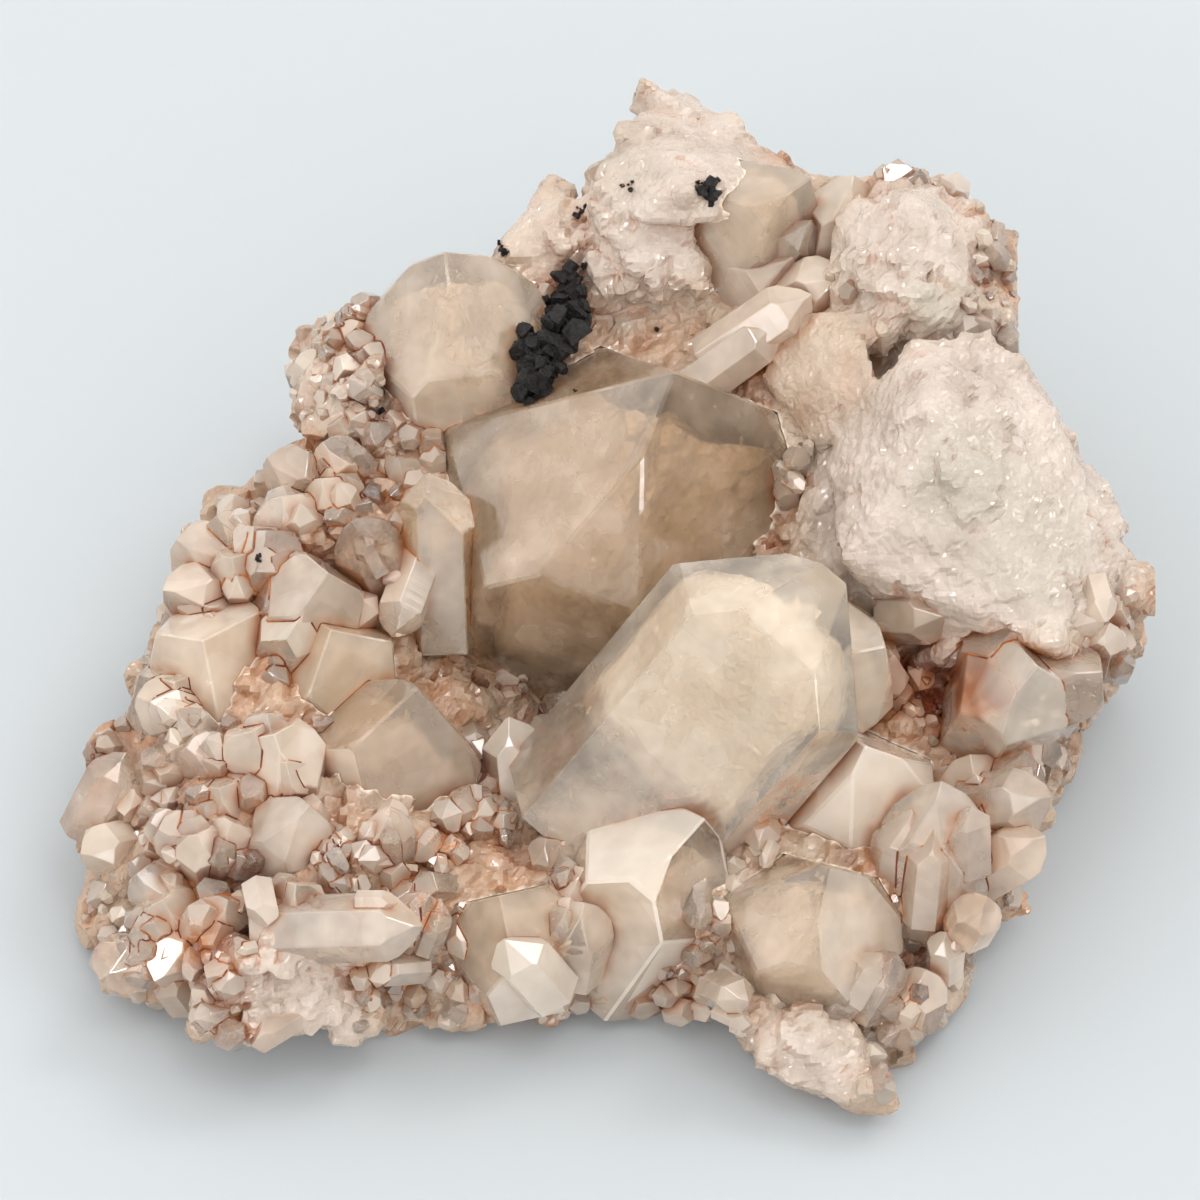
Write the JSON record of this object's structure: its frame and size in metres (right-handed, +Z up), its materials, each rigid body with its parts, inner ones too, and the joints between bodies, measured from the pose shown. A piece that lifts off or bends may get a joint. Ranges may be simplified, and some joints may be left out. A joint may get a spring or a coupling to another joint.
{
  "type": "mineral specimen",
  "caption": "Cluster of pale, slightly smoky quartz crystals of mixed sizes on massive broken quartz, with iron stains and a little black ore, lying on a flat broken underside.",
  "frame": {"origin": "on the flat underside, under the middle of the specimen as it lies on the table", "axes": "+Z up from the table, +Y away from the side the crystals lean to, +X to the right as seen from there"},
  "size_m": [0.109, 0.1078, 0.0422],
  "materials": {
    "citrine": "glossy crystal faces and sparkling broken surfaces",
    "black_ore": "dull to slightly metallic broken grains"
  },
  "bodies": {
    "root": {"quartz_cluster": "citrine", "black_ore_clump": "black_ore", "black_ore_grain": "black_ore"}
  },
  "joints": []
}
